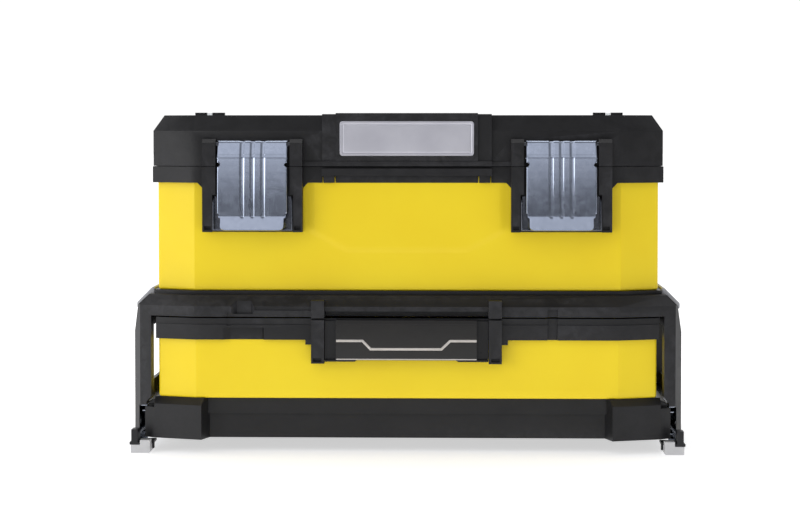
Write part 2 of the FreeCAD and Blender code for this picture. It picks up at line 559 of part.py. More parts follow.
# ================================================================= carry handle
bail = Piece("carry_handle")
for name, s in SIDES:
    arm = [(D.bail_y - 78, 303.6), (D.bail_y, 304.0), (D.bail_y + 8, 308.0), (D.bail_y + 8, 318.0),
           (D.bail_y, 322.0), (D.bail_y - 78, 324.5), (D.bail_y - 88, 319.5), (D.bail_y - 88, 308.6)]
    x0, x1 = span(s, 88.0, 96.4)
    bail.pad("YZ_Plane", arm, x0, x1)
bail.rod("X", -90, 90, D.grip_y, 314.0, 6.5)
for name, s in SIDES:
    bail.bore("X", *span(s, 85.0, 99.0), D.bail_y, D.bail_z, D.bail_pin_rad + 0.06)
    bail.pad("XY_Plane", [(89, -82), (66, -74) if s > 0 else (66, -74), (66, -62), (89, -44)] if s > 0 else
             [(-89, -44), (-66, -62), (-66, -74), (-89, -82)], 308.0, 320.0)

grip = Piece("handle_grip")
section = [(-58.0, 6.6), (58.0, 6.6), (58.0, 9.4), (40.0, 10.4), (13.0, 9.6), (-13.0, 9.6), (-40.0, 10.4),
           (-58.0, 9.4)]
sk = grip.sketch("XY_Plane", section, 0.0)
turn = grip.body.newObject("PartDesign::Revolution", "GripTurn")
turn.Profile = sk
turn.ReferenceAxis = (sk, ["H_Axis"])
turn.Angle = 360.0
grip.body.Tip = turn
grip.body.Placement.Base = V(0, num(D.grip_y), 314.0)
bind(grip.body, "Placement.Base.y", D.grip_y)

# ================================================================= clear organizer lids
for name, s in SIDES:
    cover = Piece("organizer_lid_" + name)
    cover.add(*span(s, D.org_in - 1.1, D.org_out + 0.1), D.org_front - 1.1, D.org_back + 1.1, 329.9, 331.9)
    # tongue that snaps between the two lugs, and ribs that drop into the well
    cover.add(*span(s, 199.2, 203.6), D.org_front - 1.0, D.org_front + 3, 331.0, 334.4)
    cover.add(*span(s, 199.2, 203.6), D.org_front - 8.6, D.org_front + 3, 332.3, 334.4)
    cover.add(*span(s, D.org_in + 1.2, D.org_out - 6.6), D.org_front + 1.2, D.org_front + 2.8, 327.4, 330.2)
    cover.add(*span(s, D.org_in + 1.2, D.org_out - 6.6), D.org_back - 7.8, D.org_back - 6.2, 327.4, 330.2)
    for x in (181.0, 222.0):
        cover.take(*span(s, x - 9.6, x + 9.6), D.org_back - 2.5, D.org_back + 3, 325, 335)
        cover.add(*span(s, x - 5.8, x + 5.8), D.org_back - 3.5, D.org_hinge_y, 329.9, 331.9)
        cover.rod("X", *span(s, x - 5.8, x + 5.8), D.org_hinge_y, D.org_hinge_z, 2.1)
        cover.bore("X", *span(s, x - 7, x + 7), D.org_hinge_y, D.org_hinge_z, 1.06)

# ================================================================= drawer
DFX, DFY = 38.5, 12.8
drawer = Piece("drawer_body")
drawer.pad("XY_Plane", facets(D.drawer_half, D.drawer_front, D.drawer_back, DFX, DFY), D.drawer_low, D.drawer_top)
drawer.cut("XY_Plane", facets(D.drawer_half, D.drawer_front, D.drawer_back, DFX, DFY, gap=1.0),
           D.drawer_low + D.sheet, D.drawer_top + 1)

drim = Piece("drawer_rim")
drim.pad("XY_Plane", facets(D.drim_half, D.drim_front, D.drim_back, 40.6, 13.5), D.drim_low, 127.0)
drim.pad("XY_Plane", facets(D.drim_half, D.drim_front + 1.2, D.drim_back, 40.6, 13.5), 127.0, D.drim_top)
drim.cut("XY_Plane", facets(D.drawer_half + 0.1, D.drawer_front - 0.1, D.drawer_back + 0.1, DFX, DFY),
         D.drim_low - 1, D.drawer_top + 0.1)
drim.cut("XY_Plane", facets(D.drawer_half - 3.6, D.drawer_front + 3.6, D.drawer_back - 3.6, DFX - 1, DFY - 1),
         D.drawer_top - 1, D.drim_top + 1)
for name, s in SIDES:
    drim.add(*span(s, 80.2, 93.0), -137, -129, 89.6, 132.2)
    drim.add(*span(s, 80.2, 93.0), -129.2, -124.7, 89.6, 113)
    drim.take(*span(s, 82.8, 91.0), -138, -133, 91.4, 95.0)
    drim.add(*span(s, 93.0, 99.0), -129.9, -124.7, 107.5, 113)
drim.cut("XY_Plane", [(-181.0, -131), (-172.6, -125.9), (-141.5, -125.9), (-139.0, -131)], 110, 124.0)
drim.take(-176.0, -172.0, -131, -128.2, 126, 134)
drim.take(137.6, 147.4, -131, -126.6, 110, 134)

base = Piece("drawer_base")
base.pad("XY_Plane", facets(D.base_half, D.base_front, 112.0, 30, 10), D.base_low, D.base_shelf)
# sloped shelf up to the sheet
slope = [(D.base_half, D.base_shelf - 0.1), (D.drawer_half, D.drawer_low), (-D.drawer_half, D.drawer_low),
         (-D.base_half, D.base_shelf - 0.1)]
base.pad("XZ_Plane", slope, -113.0, 111.0)
# upper strip of the middle front, slightly proud of the panel below it
base.add(-205, 205, -117.5, -110, 38.2, D.drawer_low)
for name, s in SIDES:
    # corner blocks that follow the drawer's facets, with a slanted inner end
    pts = [(194.6, -113.5), (200.9, -133.6), (249.2, -118.0), (259.4, -111.0), (259.4, -110.4), (194.6, -110.4)]
    base.pad("XY_Plane", pts if s > 0 else mirror(pts), D.base_low, 44.2)
    pts = [(194.6, -113.5), (200.9, -133.6), (249.2, -118.0), (249.2, -110.4), (194.6, -110.4)]
    base.pad("XY_Plane", pts if s > 0 else mirror(pts), 44.2, D.drawer_low)
# shoulder of each block, sloping up to the sheet
shoulder = [(-3.0, 45.4), (0.0, 47.6), (7.4, D.drawer_low - 0.2), (7.4, 60), (-3.0, 60)]
base.slant(185.0, -138.84, 17.9, shoulder, 76.0)
base.slant(-257.32, -115.48, -17.9, shoulder, 76.0)
# hollow from below, ribs left standing
base.take(-197, 197, -111, 109, D.base_low - 1, D.drawer_low - 3)
for name, s in SIDES:
    base.take(*span(s, 200, D.base_half - 3), -98, 96, D.base_low - 1, D.base_shelf - 3)
for x in (-120.0, 0.0, 120.0):
    base.add(x - 1.2, x + 1.2, -112, 110, 22, D.drawer_low - 2)
base.add(-198, 198, -1.2, 1.2, 22, D.drawer_low - 2)

pull = Piece("drawer_pull")
pull.add(-D.pull_half, D.pull_half, D.pull_front + 1.4, D.pull_front + 3.4, D.pull_low, D.pull_top)
pull.add(-79.7, 79.7, -134.0, -130.2, 128.4, 131.2)
pull.add(-D.pull_half, D.pull_half, D.pull_front + 1.4, -130.2, 128.6, D.pull_top)
for name, s in SIDES:
    pull.add(*span(s, 68.6, 79.8), -134.0, -130.2, 92.6, 131.2)
    pull.add(*span(s, 68.6, 79.8), -134.0, -124.6, 92.6, 112.0)
    pull.add(*span(s, 66.5, 69.0), D.pull_front + 1.4, -130.2, 92.6, D.pull_top)
    lip = [(48.0, 93.4), (50.5, 91.8), (79.8, 91.8), (79.8, 93.4)]
    pull.pad("XZ_Plane", lip if s > 0 else mirror(lip), -138.6, -134.0)
plate = Piece("pull_plate")
plate.add(-D.pull_half, D.pull_half, D.pull_front, D.pull_front + 1.4, D.pull_low, D.pull_top)

dividers = Piece("drawer_dividers")
for x in (-82.0, 82.0):
    dividers.add(x - 1.0, x + 1.0, D.drawer_front + 4.0, D.drawer_back - 4.0, D.drawer_low + D.sheet + 0.1, 116.0)
dividers.add(-80.9, 80.9, -1.0, 1.0, D.drawer_low + D.sheet + 0.1, 116.0)

dscrews = Piece("drawer_screws")
for x in (-180.0, 0.0, 180.0):
    for y in (-70.0, 70.0):
        dscrews.rod("Z", D.drawer_low + D.sheet, D.drawer_low + D.sheet + 1.8, x, y - 20.0, 3.8)

# ================================================================= ball-bearing slides
mid = (D.slide_low + D.slide_high) / 2
for name, s in SIDES:
    web, steel = D.slide_web, D.slide_steel
    out = Piece("slide_outer_" + name)
    out.add(*span(s, web - steel, web), D.slide_front, D.slide_back, D.slide_low, D.slide_high)
    out.add(*span(s, 258.2, web), D.slide_front, D.slide_back, D.slide_low, D.slide_low + steel)
    out.add(*span(s, 258.2, web), D.slide_front, D.slide_back, D.slide_high - steel, D.slide_high)
    inner = Piece("slide_inner_" + name)
    low, high = D.slide_low + steel + 4.1, D.slide_high - steel - 4.1
    inner.add(*span(s, D.base_half + 0.1, D.base_half + 1.3), D.slide_front + 0.5, D.slide_back - 4, low, high)
    inner.add(*span(s, D.base_half + 0.1, 263.6), D.slide_front + 0.5, D.slide_back - 4, low, low + steel)
    inner.add(*span(s, D.base_half + 0.1, 263.6), D.slide_front + 0.5, D.slide_back - 4, high - steel, high)
    cage = Piece("ball_cage_" + name)
    balls = Piece("slide_balls_" + name)
    zs = (D.slide_low + steel + 2.05, D.slide_high - steel - 2.05)
    cage.add(*span(s, 264.5, 265.0), -23.4, 15.8, zs[0] - 0.3, zs[1] + 0.3)
    for z in zs:
        cage.add(*span(s, 259.0, 265.0), -23.4, 15.8, z - 0.3, z + 0.3)
    for i in range(4):
        y = -19.0 + 10.0 * i
        for z in zs:
            cage.bore("Z", z - 1, z + 1, s * D.ball_x, y, D.ball_rad + 0.05)
            b = balls.body.newObject("PartDesign::AdditiveSphere", fresh("Ball"))
            b.Radius = num(D.ball_rad)
            bind(b, "Radius", D.ball_rad)
            b.Placement.Base = V(s * num(D.ball_x), y, num(z))
            bind(b, "Placement.Base.x", s * D.ball_x)
            bind(b, "Placement.Base.z", z)
            balls.body.Tip = b

outer_rivets = Piece("slide_outer_rivets")
inner_rivets = Piece("slide_inner_rivets")
for name, s in SIDES:
    for y in (-98.0, 40.0, 92.0):
        outer_rivets.rod("X", *span(s, 265.15, 265.7), y, 27.9, 3.4)
    for y in (-97.5, 0.0, 90.0):
        inner_rivets.rod("X", *span(s, 258.1, 258.8), y, 27.9, 3.2)

# ================================================================= check and write
doc.recompute()
bad = [o.Name for o in doc.Objects if any(w in o.State for w in ("Invalid", "Error"))]
for label, body in PARTS:
    shape = body.Shape
    if shape.isNull() or not shape.isValid() or not shape.Solids:
        bad.append(label)
if bad:
    raise RuntimeError("these objects failed: " + ", ".join(bad))
os.makedirs("parts", exist_ok=True)
for label, body in PARTS:
    body.Shape.exportStep(os.path.join("parts", label + ".step"))
print("wrote", len(PARTS), "parts")
for label, body in PARTS:
    bb = body.Shape.BoundBox
    print("%-24s solids %2d  vol %9.0f  x %7.1f %7.1f  y %7.1f %7.1f  z %6.1f %6.1f" % (
        label, len(body.Shape.Solids), body.Shape.Volume, bb.XMin, bb.XMax, bb.YMin, bb.YMax, bb.ZMin, bb.ZMax))
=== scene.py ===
import math

import bmesh
import bpy
from mathutils import Matrix, Vector, noise


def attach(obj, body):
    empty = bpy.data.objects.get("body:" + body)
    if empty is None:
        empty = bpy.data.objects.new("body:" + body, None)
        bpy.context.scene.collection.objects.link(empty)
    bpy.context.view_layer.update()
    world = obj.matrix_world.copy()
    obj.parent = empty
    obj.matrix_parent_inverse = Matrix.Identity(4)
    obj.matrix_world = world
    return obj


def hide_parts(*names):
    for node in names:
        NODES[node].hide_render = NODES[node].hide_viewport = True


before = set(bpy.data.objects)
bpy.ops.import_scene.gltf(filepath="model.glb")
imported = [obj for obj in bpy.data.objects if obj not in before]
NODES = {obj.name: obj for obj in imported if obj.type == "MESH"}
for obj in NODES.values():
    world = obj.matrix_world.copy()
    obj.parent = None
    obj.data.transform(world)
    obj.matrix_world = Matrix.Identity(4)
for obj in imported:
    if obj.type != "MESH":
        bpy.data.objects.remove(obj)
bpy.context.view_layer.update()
MM = 0.001


# ------------------------------------------------------------------ helpers
def srgb(r, g, b):
    """A colour given as sRGB 0..255, as the linear values a shader takes."""
    out = []
    for c in (r, g, b):
        c = c / 255.0
        out.append(c / 12.92 if c <= 0.04045 else ((c + 0.055) / 1.055) ** 2.4)
    return tuple(out) + (1.0,)


class Mat:
    """A node material with object-space coordinates in millimetres."""

    def __init__(self, name):
        self.m = bpy.data.materials.new(name)
        self.m.use_nodes = True
        self.t = self.m.node_tree
        self.n = self.t.nodes
        self.l = self.t.links
        self.bsdf = next(x for x in self.n if x.type == "BSDF_PRINCIPLED")
        self.coord = self.n.new("ShaderNodeTexCoord")
        self.map = self.n.new("ShaderNodeMapping")
        self.map.inputs["Scale"].default_value = (1000, 1000, 1000)
        self.l.new(self.coord.outputs["Object"], self.map.inputs["Vector"])
        self.xyz = self.map.outputs["Vector"]

    def noise(self, scale, detail=3.0, rough=0.5, vec=None, distortion=0.0):
        t = self.n.new("ShaderNodeTexNoise")
        t.inputs["Scale"].default_value = scale
        t.inputs["Detail"].default_value = detail
        t.inputs["Roughness"].default_value = rough
        t.inputs["Distortion"].default_value = distortion
        self.l.new(vec or self.xyz, t.inputs["Vector"])
        return t.outputs["Fac"]

    def voronoi(self, scale, feature="F1", vec=None, out="Distance", randomness=1.0):
        t = self.n.new("ShaderNodeTexVoronoi")
        t.feature = feature
        t.inputs["Scale"].default_value = scale
        t.inputs["Randomness"].default_value = randomness
        self.l.new(vec or self.xyz, t.inputs["Vector"])
        return t.outputs[out]

    def ramp(self, fac, stops):
        t = self.n.new("ShaderNodeValToRGB")
        e = t.color_ramp.elements
        while len(e) < len(stops):
            e.new(0.5)
        for el, (pos, col) in zip(e, stops):
            el.position = pos
            el.color = col if len(col) == 4 else tuple(col) + (1.0,)
        self.l.new(fac, t.inputs["Fac"])
        return t.outputs["Color"]

    def remap(self, fac, a, b, c, d):
        t = self.n.new("ShaderNodeMapRange")
        t.inputs["From Min"].default_value = a
        t.inputs["From Max"].default_value = b
        t.inputs["To Min"].default_value = c
        t.inputs["To Max"].default_value = d
        self.l.new(fac, t.inputs["Value"])
        return t.outputs["Result"]

    def math(self, op, a, b=None):
        t = self.n.new("ShaderNodeMath")
        t.operation = op
        for i, v in enumerate((a, b)):
            if v is None:
                continue
            if isinstance(v, (int, float)):
                t.inputs[i].default_value = v
            else:
                self.l.new(v, t.inputs[i])
        return t.outputs[0]

    def mix(self, fac, a, b, blend="MIX"):
        t = self.n.new("ShaderNodeMix")
        t.data_type = "RGBA"
        t.blend_type = blend
        for sock, v in (("Factor", fac), ("A", a), ("B", b)):
            s = next(i for i in t.inputs if i.name == sock and i.enabled and (sock == "Factor" or i.type == "RGBA"))
            if isinstance(v, (int, float)):
                s.default_value = v
            elif isinstance(v, tuple):
                s.default_value = v
            else:
                self.l.new(v, s)
        return next(o for o in t.outputs if o.type == "RGBA")

    def edge(self, lo=0.52, hi=0.62):
        """1 on convex edges, 0 on flats."""
        g = self.n.new("ShaderNodeNewGeometry")
        return self.remap(g.outputs["Pointiness"], lo, hi, 0.0, 1.0)

    def bump(self, height, strength=0.2, distance=0.0002, chain=None):
        t = self.n.new("ShaderNodeBump")
        t.inputs["Strength"].default_value = strength
        t.inputs["Distance"].default_value = distance
        self.l.new(height, t.inputs["Height"])
        if chain is not None:
            self.l.new(chain, t.inputs["Normal"])
        return t.outputs["Normal"]

    def set(self, **kw):
        for k, v in kw.items():
            s = self.bsdf.inputs[k.replace("_", " ")]
            if isinstance(v, (int, float, tuple)):
                s.default_value = v
            else:
                self.l.new(v, s)
        return self.m


def make_black(name, base=(28, 28, 30), grain=0.16, rough=0.40, wear_and_highlight=0.5, spec=0.29):
    k = Mat(name)
    fine = k.noise(1.6, 4.0, 0.6)
    cell = k.voronoi(1.1)
    cloud = k.noise(0.02, 3.0, 0.55)
    patch = k.noise(0.09, 4.0, 0.65, distortion=0.6)
    dark = srgb(*[c - 3 for c in base])
    light = srgb(*[c + 4 for c in base])
    col = k.ramp(cloud, [(0.30, dark), (0.70, light)])
    # edge wear and painted highlight: convex edges are lightened towards grey in patches, partly scuffs and partly the
    # light the edges catch
    edge_wear_and_highlight = k.math("MULTIPLY", k.edge(0.515, 0.60), k.remap(patch, 0.40, 0.68, 0.15, 1.0))
    col = k.mix(k.math("MULTIPLY", edge_wear_and_highlight, 0.34 * wear_and_highlight), col, srgb(96, 96, 102))
    r = k.remap(patch, 0.3, 0.75, rough - 0.05, rough + 0.09)
    r2 = k.math("ADD", r, k.remap(fine, 0.3, 0.7, -0.03, 0.03))
    n1 = k.bump(cell, grain, 0.00012)
    n2 = k.bump(fine, grain * 0.8, 0.00010, n1)
    return k.set(Base_Color=col, Roughness=r2, Normal=n2, Specular_IOR_Level=spec)


def make_yellow(name):
    k = Mat(name)
    peel = k.noise(0.35, 2.0, 0.5)
    fine = k.noise(2.2, 2.0, 0.5)
    cloud = k.noise(0.012, 3.0, 0.5)
    col = k.ramp(cloud, [(0.30, srgb(243, 212, 22)), (0.70, srgb(246, 218, 28))])
    dust = k.noise(0.05, 5.0, 0.7)
    # painted highlight: convex edges are mixed towards a paler yellow, as if they catch the light
    col = k.mix(k.math("MULTIPLY", k.edge(0.53, 0.62), 0.25), col, srgb(250, 228, 100))
    r = k.remap(dust, 0.3, 0.7, 0.40, 0.50)
    n = k.bump(peel, 0.05, 0.0004)
    n = k.bump(fine, 0.05, 0.0001, n)
    return k.set(Base_Color=col, Roughness=r, Normal=n, Specular_IOR_Level=0.36, Coat_Weight=0.06,
                 Coat_Roughness=0.2)


def make_galvanised(name, base=(150, 158, 176)):
    k = Mat(name)
    spangle = k.voronoi(0.35, out="Color")
    bw = k.n.new("ShaderNodeRGBToBW")
    k.l.new(spangle, bw.inputs[0])
    cloud = k.noise(0.07, 5.0, 0.62, distortion=0.4)
    grit = k.noise(1.3, 4.0, 0.7)
    smear = k.n.new("ShaderNodeMapping")
    smear.inputs["Scale"].default_value = (1.0, 1.0, 0.07)
    k.l.new(k.xyz, smear.inputs["Vector"])
    brush = k.noise(0.9, 4.0, 0.7, vec=smear.outputs["Vector"])
    mixed = k.math("ADD", k.math("MULTIPLY", bw.outputs[0], 0.12),
                   k.math("ADD", k.math("MULTIPLY", cloud, 0.50), k.math("MULTIPLY", grit, 0.38)))
    lo = tuple(c - 9 for c in base)
    hi = tuple(min(255, c + 10) for c in base)
    col = k.ramp(mixed, [(0.30, srgb(*lo)), (0.50, srgb(*base)), (0.68, srgb(*hi))])
    r = k.math("ADD", k.remap(mixed, 0.3, 0.7, 0.17, 0.24), k.remap(brush, 0.3, 0.7, -0.02, 0.02))
    n = k.bump(brush, 0.04, 0.0001)
    n = k.bump(cloud, 0.02, 0.0008, n)
    return k.set(Base_Color=col, Metallic=1.0, Roughness=r, Normal=n)


def make_metal(name, base, rough, scratch=0.06):
    k = Mat(name)
    cloud = k.noise(0.15, 4.0, 0.6)
    fine = k.noise(3.0, 3.0, 0.6)
    col = k.ramp(cloud, [(0.3, srgb(*[c - 8 for c in base])), (0.7, srgb(*[min(255, c + 8) for c in base]))])
    r = k.remap(fine, 0.3, 0.7, rough - 0.05, rough + 0.07)
    n = k.bump(fine, scratch, 0.00008)
    return k.set(Base_Color=col, Metallic=1.0, Roughness=r, Normal=n)


def make_label(name):
    k = Mat(name)
    stretch = k.n.new("ShaderNodeMapping")
    stretch.inputs["Scale"].default_value = (0.05, 1.0, 1.0)
    k.l.new(k.xyz, stretch.inputs["Vector"])
    brush = k.noise(3.2, 3.0, 0.6, vec=stretch.outputs["Vector"])
    cloud = k.noise(0.03, 3.0, 0.5)
    col = k.ramp(cloud, [(0.3, srgb(186, 186, 196)), (0.7, srgb(198, 198, 207))])
    r = k.remap(brush, 0.3, 0.7, 0.36, 0.48)
    n = k.bump(brush, 0.05, 0.00006)
    return k.set(Base_Color=col, Metallic=0.6, Roughness=r, Normal=n)


def make_grey(name, base=(214, 214, 217)):
    k = Mat(name)
    fine = k.noise(1.8, 4.0, 0.6)
    cloud = k.noise(0.05, 4.0, 0.6)
    col = k.ramp(cloud, [(0.3, srgb(*[c - 6 for c in base])), (0.7, srgb(*base))])
    dirt = k.noise(0.22, 5.0, 0.7)
    col = k.mix(k.remap(dirt, 0.56, 0.74, 0.0, 0.16), col, srgb(120, 116, 110))
    r = k.remap(fine, 0.3, 0.7, 0.42, 0.54)
    n = k.bump(fine, 0.12, 0.0001)
    return k.set(Base_Color=col, Roughness=r, Normal=n)


def make_gloss(name):
    k = Mat(name)
    cloud = k.noise(0.03, 3.0, 0.5)
    fine = k.noise(1.5, 4.0, 0.7)
    col = k.ramp(cloud, [(0.3, srgb(10, 8, 8)), (0.7, srgb(16, 13, 11))])
    r = k.remap(fine, 0.35, 0.7, 0.15, 0.23)
    n = k.bump(k.noise(0.08, 2.0, 0.5), 0.04, 0.0008)
    return k.set(Base_Color=col, Metallic=0.25, Roughness=r, Normal=n, Coat_Weight=0.2, Coat_Roughness=0.12)


# painted highlight: a pale satin colour for the raised lines on the dark pull plate, standing in for the light they
# catch
def make_painted_highlight_satin(name):
    k = Mat(name)
    fine = k.noise(1.2, 4.0, 0.6)
    cloud = k.noise(0.1, 3.0, 0.5)
    col = k.ramp(cloud, [(0.3, srgb(186, 181, 176)), (0.7, srgb(198, 193, 188))])
    r = k.remap(fine, 0.3, 0.7, 0.34, 0.46)
    n = k.bump(fine, 0.05, 0.0001)
    return k.set(Base_Color=col, Metallic=0.2, Roughness=r, Normal=n)


def make_clear(name):
    k = Mat(name)
    fine = k.noise(0.8, 4.0, 0.6)
    smudge = k.noise(0.05, 5.0, 0.7)
    r = k.remap(smudge, 0.3, 0.7, 0.05, 0.16)
    n = k.bump(fine, 0.03, 0.0001)
    col = k.ramp(smudge, [(0.3, srgb(224, 230, 234)), (0.7, srgb(238, 241, 243))])
    m = k.set(Base_Color=col, Roughness=r, Normal=n, Transmission_Weight=0.92, IOR=1.49)
    return m


def make_rubber(name):
    k = Mat(name)
    fine = k.noise(2.4, 4.0, 0.65)
    cloud = k.noise(0.06, 4.0, 0.6)
    col = k.ramp(cloud, [(0.3, srgb(28, 28, 30)), (0.7, srgb(36, 36, 38))])
    r = k.remap(fine, 0.3, 0.7, 0.62, 0.76)
    n = k.bump(fine, 0.3, 0.00015)
    return k.set(Base_Color=col, Roughness=r, Normal=n)


BLACK = make_black("black_plastic")
BLACK_SMOOTH = make_black("black_plastic_smooth", (23, 23, 25), 0.07, 0.32, 0.35)
# painted shade: a darker copy of the black plastic for the tote tray and drawer dividers inside the box
BLACK_SHADED_INNER = make_black("black_plastic_inner_painted_shade", (17, 17, 19), 0.14, 0.46, 0.2)
YELLOW = make_yellow("yellow_powder_coat")
GALV = make_galvanised("galvanised_steel", (158, 164, 178))
LATCH = make_galvanised("galvanised_latch", (160, 169, 188))
# painted shade: a darker copy of the galvanised steel for the keeper brackets, which sit in shade behind the latch
# plates
GALV_KEEPER_SHADED = make_galvanised("galvanised_keeper_painted_shade", (112, 116, 126))
STEEL = make_metal("bright_steel", (186, 188, 192), 0.24)
# painted shade: a darker copy of the steel for the latch pins, which sit in the dark gap between plate and ears
STEEL_SHADED_PINS = make_metal("steel_painted_shade", (74, 76, 82), 0.34)
BALL = make_metal("polished_balls", (205, 206, 210), 0.10, 0.02)
SILVER = make_label("silver_label")
GREY = make_grey("light_grey_plastic", (200, 200, 202))
# painted shade: a darker copy of the feet's light grey plastic for the side grips, which sit in shade
GREY_GRIP_SHADED = make_grey("grey_side_grip_painted_shade", (176, 177, 181))
GLOSS = make_gloss("black_chrome")
SATIN_HIGHLIGHT = make_painted_highlight_satin("satin_painted_highlight")
CLEAR = make_clear("clear_plastic")
RUBBER = make_rubber("grip_rubber")


def paint(o, mat):
    o.data.materials.clear()
    o.data.materials.append(mat)


def carry(node, mat, bevel=0.7, segments=2, angle=28):
    """A CAD node that stays: welded, its flats merged, its edges rounded."""
    o = NODES[node]
    me = o.data
    paint(o, mat)
    for p in me.polygons:
        p.use_smooth = False
    if "custom_normal" in me.attributes:
        me.attributes.remove(me.attributes["custom_normal"])
    w = o.modifiers.new("weld", "WELD")
    w.merge_threshold = 0.00001
    d = o.modifiers.new("flats", "DECIMATE")
    d.decimate_type = "DISSOLVE"
    d.angle_limit = math.radians(1.0)
    d.delimit = set()
    t = o.modifiers.new("split", "TRIANGULATE")
    t.quad_method = "BEAUTY"
    t.ngon_method = "BEAUTY"
    t.min_vertices = 5
    if bevel:
        b = o.modifiers.new("edges", "BEVEL")
        b.width = bevel * MM
        b.segments = segments
        b.limit_method = "ANGLE"
        b.angle_limit = math.radians(angle)
        b.harden_normals = False
        b.use_clamp_overlap = True
        b.miter_outer = "MITER_ARC"
    s = o.modifiers.new("smooth", "WEIGHTED_NORMAL")
    s.keep_sharp = True
    for p in me.polygons:
        p.use_smooth = True
    return o


def new_object(name, bm, mat, body, smooth=True, auto=None):
    me = bpy.data.meshes.new(name)
    bm.normal_update()
    bm.to_mesh(me)
    bm.free()
    o = bpy.data.objects.new(name, me)
    bpy.context.scene.collection.objects.link(o)
    me.materials.append(mat)
    for p in me.polygons:
        p.use_smooth = smooth
    if auto is not None:
        me.set_sharp_from_angle(angle=math.radians(auto))
    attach(o, body)
    return o


def outline(half, front, back, fx, fy, radius, steps=5):
    """Plan of a faceted box as a closed list of (x, y), each corner rounded, in mm."""
    raw = [(-half + fx, front), (half - fx, front), (half, front + fy), (half, back - fy),
           (half - fx, back), (-half + fx, back), (-half, back - fy), (-half, front + fy)]
    pts = []
    n = len(raw)
    for i in range(n):
        a, b, c = Vector(raw[i - 1]), Vector(raw[i]), Vector(raw[(i + 1) % n])
        u, v = (a - b).normalized(), (c - b).normalized()
        turn = math.pi - u.angle(v)
        cut = radius * math.tan(turn / 2)
        p0, p1 = b + u * cut, b + v * cut
        centre = b + (u + v).normalized() * (radius / math.cos(turn / 2))
        for k in range(steps + 1):
            t = k / steps
            w = (p0 - centre).lerp(p1 - centre, t)
            pts.append(centre + w.normalized() * radius)
    return pts


def resample(pts, step):
    """Adds points along long straight runs so that no run is longer than step."""
    out = []
    n = len(pts)
    for i in range(n):
        a, b = Vector(pts[i]), Vector(pts[(i + 1) % n])
        k = max(1, int(math.ceil((b - a).length / step)))
        for j in range(k):
            out.append(a.lerp(b, j / k))
    return out


def smoothstep(a, b, x):
    """0 below a, 1 above b, smooth between."""
    t = min(1.0, max(0.0, (x - a) / (b - a)))
    return t * t * (3 - 2 * t)


def panel_field(x, z, z_top):
    """Signed distance inside the pressed trapezoid panel, in mm: positive inside."""
    d = 95.0 - abs(x)
    nx, nz = 19.7, 36.3
    ln = math.hypot(nx, nz)
    d2 = ((95.0 - abs(x)) * nx + (z - 218.1) * nz) / ln
    return min(d, z - 198.4, d2, z_top - z)


def sheet_tub(name, node, body, half, front, back, fx, fy, low, top, panel=None, wave=0.0):
    """A folded sheet-steel tub: faceted wall, rolled lower edge and a floor, with thickness."""
    bm = bmesh.new()
    plan = resample(outline(half, front, back, fx, fy, 3.0, 5), 3.0 if panel else 8.0)
    n = len(plan)
    normals = []
    for i in range(n):
        t = (Vector(plan[(i + 1) % n]) - Vector(plan[i - 1])).normalized()
        normals.append(Vector((t.y, -t.x)))
    step = 2.6 if panel else 6.0
    edge = 2.2
    levels = []
    for k in range(4):
        a = math.pi / 2 * k / 3
        levels.append((low + edge - edge * math.cos(a), -edge + edge * math.sin(a)))
    z = low + edge
    while z + step < top:
        z += step
        levels.append((z, 0.0))
    levels.append((top, 0.0))
    rows = []
    for z, inset in levels:
        row = []
        for p, nrm in zip(plan, normals):
            push = inset
            if panel and nrm.y < -0.99:
                f = panel_field(p.x, z, 300.0)
                push += 0.9 * smoothstep(-1.2, 1.2, f)
            q = Vector(p) + nrm * push
            if wave:
                w = noise.noise(Vector((q.x * 0.009, q.y * 0.009, z * 0.011)))
                q = q + nrm * (w * wave)
            row.append(bm.verts.new((q.x * MM, q.y * MM, z * MM)))
        rows.append(row)
    for r in range(len(rows) - 1):
        for i in range(n):
            j = (i + 1) % n
            bm.faces.new((rows[r][i], rows[r][j], rows[r + 1][j], rows[r + 1][i]))
    floor = bm.faces.new(list(reversed(rows[0])))
    o = new_object(name, bm, YELLOW, body, True)
    s = o.modifiers.new("gauge", "SOLIDIFY")
    s.thickness = 0.9 * MM
    s.offset = -1.0
    s.use_even_offset = True
    o.data.set_sharp_from_angle(angle=math.radians(50))
    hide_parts(node)
    return o


# ------------------------------------------------------------------ carried-over CAD nodes
for node in ("housing_frame", "box_rim", "lid_shell", "drawer_rim", "drawer_base"):
    carry(node, BLACK, 0.8, 3)
for node in ("drawer_pull",):
    carry(node, BLACK_SMOOTH, 0.5, 2)
for node in ("tote_tray", "drawer_dividers"):
    carry(node, BLACK_SHADED_INNER, 0.5, 2)
for node in ("foot_clip_front_left", "foot_clip_front_right", "foot_clip_rear_left", "foot_clip_rear_right"):
    carry(node, BLACK, 0.6, 2)
for node in ("foot_front_left", "foot_front_right", "foot_rear_left", "foot_rear_right"):
    carry(node, GREY, 0.9, 3)
for node in ("side_grip_left", "side_grip_right"):
    carry(node, GREY_GRIP_SHADED, 1.4, 3)
for node in ("keeper_bracket_left", "keeper_bracket_right"):
    carry(node, GALV_KEEPER_SHADED, 0.35, 2)
for node in ("slide_outer_left", "slide_outer_right", "slide_inner_left", "slide_inner_right"):
    carry(node, GALV, 0.3, 2)
for node in ("lid_hinge_pins", "handle_pivots", "organizer_hinge_pins"):
    carry(node, STEEL, 0.3, 2, 40)
carry("latch_pins", STEEL_SHADED_PINS, 0.3, 2, 40)
for node in ("keeper_rivets", "deck_screws", "drawer_screws", "slide_outer_rivets", "slide_inner_rivets"):
    carry(node, STEEL, 0.45, 3, 40)
for node in ("slide_balls_left", "slide_balls_right"):
    carry(node, BALL, 0)
for node in ("ball_cage_left", "ball_cage_right"):
    carry(node, STEEL, 0)
for node in ("organizer_lid_left", "organizer_lid_right"):
    carry(node, CLEAR, 0.4, 2)
